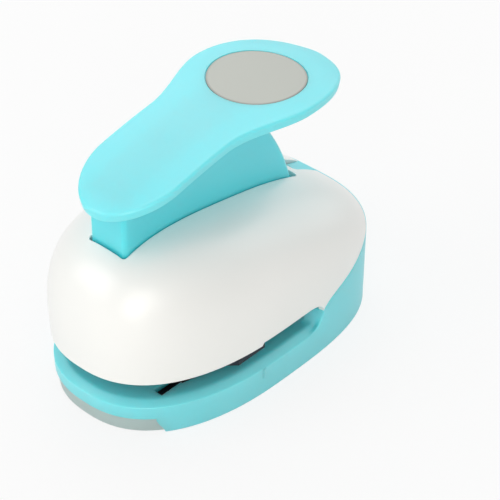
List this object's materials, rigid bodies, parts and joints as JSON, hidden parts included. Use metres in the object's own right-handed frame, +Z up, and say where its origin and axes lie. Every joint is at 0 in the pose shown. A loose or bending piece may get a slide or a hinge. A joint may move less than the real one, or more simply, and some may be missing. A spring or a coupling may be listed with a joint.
{
  "type": "circle punch",
  "caption": "Lever craft punch: press the paddle and a round steel cutter stamps a paper disc through the die into a drop-down chip tray.",
  "frame": {"origin": "centre of the body's footprint, on the surface it stands on", "axes": "+Z up, Y along the body with the paper throat's front at -Y and the lock slider at +Y, +X to the right side as seen from behind"},
  "size_m": [0.086, 0.139, 0.107],
  "materials": {
    "aqua_moulding": "satin moulded ABS, pale aqua",
    "white_moulding": "satin moulded ABS, white",
    "frosted_clear": "frosted clear styrene",
    "grey_label": "matt pale grey label stock",
    "dark_steel": "black oxide",
    "bright_steel": "zinc plated or ground",
    "grey_nylon": "moulded nylon, grey"
  },
  "bodies": {
    "housing": {"base_housing": "aqua_moulding", "top_cover": "white_moulding", "lock_leaf_spring": "bright_steel", "die_plate": "dark_steel", "throat_spacer": "bright_steel", "guide_plate": "dark_steel", "die_rivet_outer_right": "bright_steel", "die_rivet_outer_left": "bright_steel", "die_rivet_inner_right": "bright_steel", "die_rivet_inner_left": "bright_steel", "die_screw_front_right": "bright_steel", "die_screw_front_left": "bright_steel", "die_screw_rear_right": "bright_steel", "die_screw_rear_left": "bright_steel", "cover_screw_front_right": "bright_steel", "cover_screw_front_left": "bright_steel", "cover_screw_rear_right": "bright_steel", "cover_screw_rear_left": "bright_steel", "guide_post_right": "bright_steel", "guide_post_left": "bright_steel", "return_spring_right": "bright_steel", "return_spring_left": "bright_steel", "pivot_bracket": "bright_steel", "bracket_rivet_right": "bright_steel", "bracket_rivet_left": "bright_steel", "pivot_axle": "bright_steel", "axle_clip_right": "bright_steel", "axle_clip_left": "bright_steel", "pivot_bush_right": "grey_nylon", "pivot_bush_left": "grey_nylon", "tray_hinge_pin": "bright_steel"},
    "lever": {"lever_handle": "aqua_moulding", "size_label_disc": "grey_label"},
    "punch": {"punch_cutter": "bright_steel", "punch_head": "grey_nylon", "wear_plate": "bright_steel", "cutter_screw_right": "bright_steel", "cutter_screw_left": "bright_steel"},
    "lock": {"lock_slider": "aqua_moulding"},
    "tray": {"chip_tray": "frosted_clear"}
  },
  "joints": [
    {"name": "lever_hinge", "type": "hinge", "parent": "housing", "child": "lever", "pos_m": [0, -0.05, 0.036], "axis": [-1, 0, 0], "range_deg": [0, 16], "stiffness_Nm_per_rad": 1, "springref_deg": -17.19},
    {"name": "punch_slide", "type": "slide", "parent": "housing", "child": "punch", "axis": [0, 0, -1], "range_m": [0, 0.0105], "deforming": ["return_spring_right", "return_spring_left"]},
    {"name": "lock_slide", "type": "slide", "parent": "housing", "child": "lock", "axis": [0, -1, 0], "range_m": [0, 0.004]},
    {"name": "tray_hinge", "type": "hinge", "parent": "housing", "child": "tray", "pos_m": [0, 0.05, 0.003], "axis": [1, 0, 0], "range_deg": [0, 75]}
  ],
  "couplings": [
    {"joint": "punch_slide", "follows": "lever_hinge", "m_per_rad": 0.0373}
  ]
}
